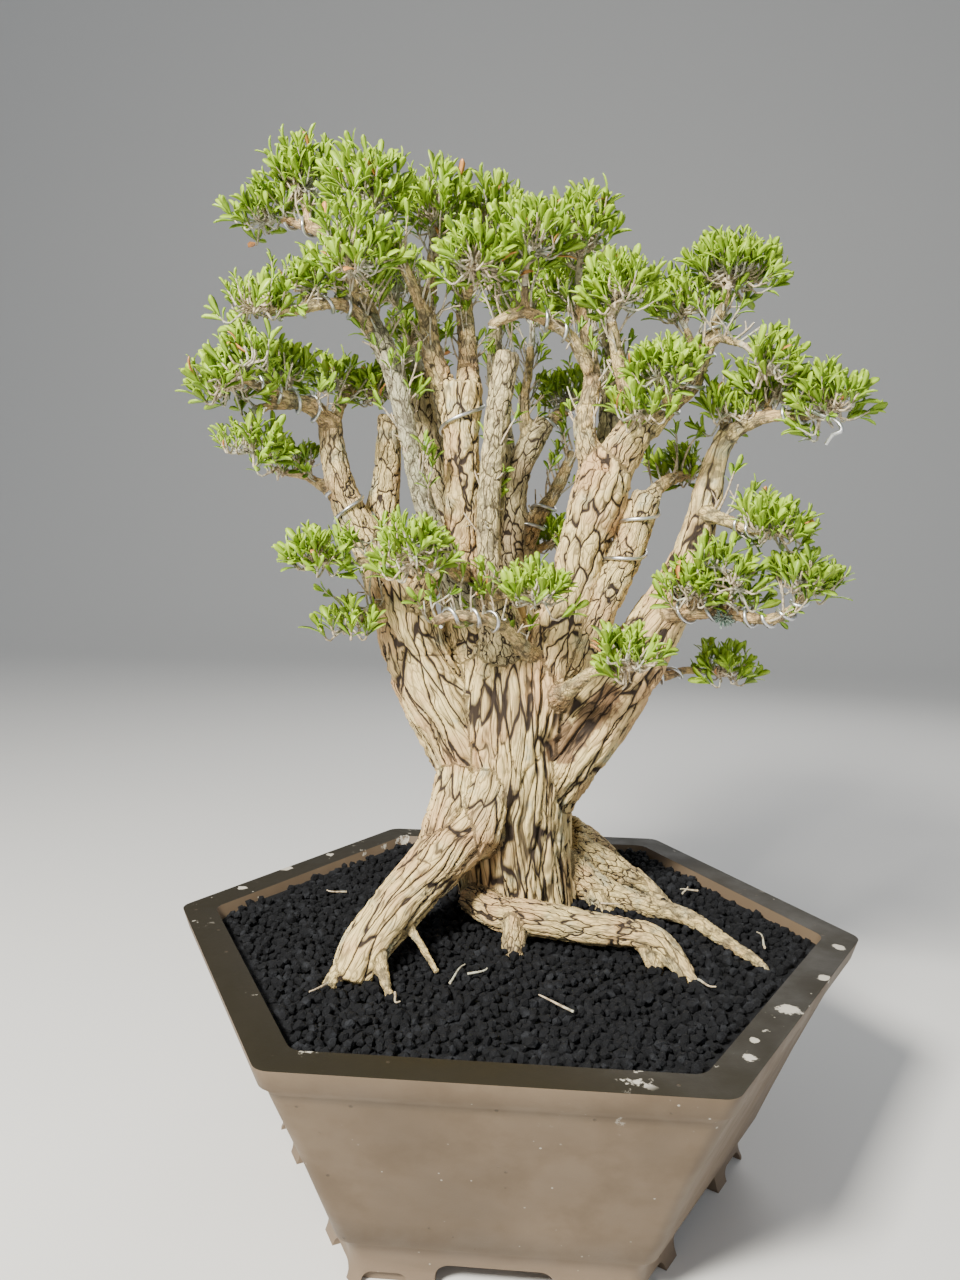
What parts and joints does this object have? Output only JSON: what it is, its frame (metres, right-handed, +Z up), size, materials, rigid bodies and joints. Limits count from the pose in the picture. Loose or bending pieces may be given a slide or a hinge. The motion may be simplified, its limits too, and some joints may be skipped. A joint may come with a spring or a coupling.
{
  "type": "boxwood bonsai in a hexagonal clay pot",
  "caption": "Old multi-trunk boxwood bonsai with small leafy sprays and training wire, in a deep six-sided clay pot of dark gravel.",
  "frame": {"origin": "centre of the pot's foot, on the surface that the pot stands on", "axes": "+Z up along the trunk; a corner of the six-sided pot points along +X, and the tree's front faces -Y"},
  "size_m": [0.445, 0.3896, 0.6684],
  "materials": {
    "clay": null,
    "gravel": null,
    "bark": "cream and tan cracked corky bark",
    "leaf": null,
    "aluminium_wire": "dull silver training wire",
    "plastic_mesh": "black plastic mesh"
  },
  "bodies": {
    "root": {"pot": "clay", "soil": "gravel", "drain_screen_1": "plastic_mesh", "drain_screen_2": "plastic_mesh", "drain_screen_3": "plastic_mesh", "tree": "bark", "wire_left_fan": "aluminium_wire", "wire_high_left": "aluminium_wire", "wire_top_left": "aluminium_wire", "wire_front_cross": "aluminium_wire", "wire_front_low": "aluminium_wire", "wire_arch": "aluminium_wire", "wire_right_arm": "aluminium_wire", "wire_right_low": "aluminium_wire", "wire_right_side": "aluminium_wire", "spray_left_tip": "leaf", "spray_left_outer": "leaf", "spray_left_low": "leaf", "spray_left_inner": "leaf", "spray_left_crown": "leaf", "spray_high_left_tip": "leaf", "spray_high_left_mid": "leaf", "spray_top_left_tip": "leaf", "spray_top_left_crown": "leaf", "spray_top_left_inner": "leaf", "spray_top_mid_left": "leaf", "spray_top_mid": "leaf", "spray_top_centre": "leaf", "spray_top_front": "leaf", "spray_top_right": "leaf", "spray_right_top": "leaf", "spray_right_upper": "leaf", "spray_right_upper_back": "leaf", "spray_right_crown_left": "leaf", "spray_right_sprig": "leaf", "spray_right_crown": "leaf", "spray_right_tuft": "leaf", "spray_right_tip": "leaf", "spray_right_outer": "leaf", "spray_rosette_left": "leaf", "spray_rosette_right": "leaf", "spray_right_behind": "leaf", "spray_right_side_tip": "leaf", "spray_right_low_tuft": "leaf", "spray_right_low_mass": "leaf", "spray_right_low_tip": "leaf", "spray_right_bottom_tip": "leaf", "spray_left_base_tip": "leaf", "spray_left_side_tip": "leaf", "spray_front_left": "leaf", "spray_front_mid_tuft": "leaf", "spray_left_twig_tip": "leaf", "spray_front_low": "leaf", "spray_back_right_tuft": "leaf", "spray_back_low_tuft": "leaf", "spray_far_left_crown": "leaf", "spray_far_mid_crown": "leaf", "spray_far_right_crown": "leaf", "spray_back_left_tuft": "leaf", "spray_back_top": "leaf"}
  },
  "joints": []
}
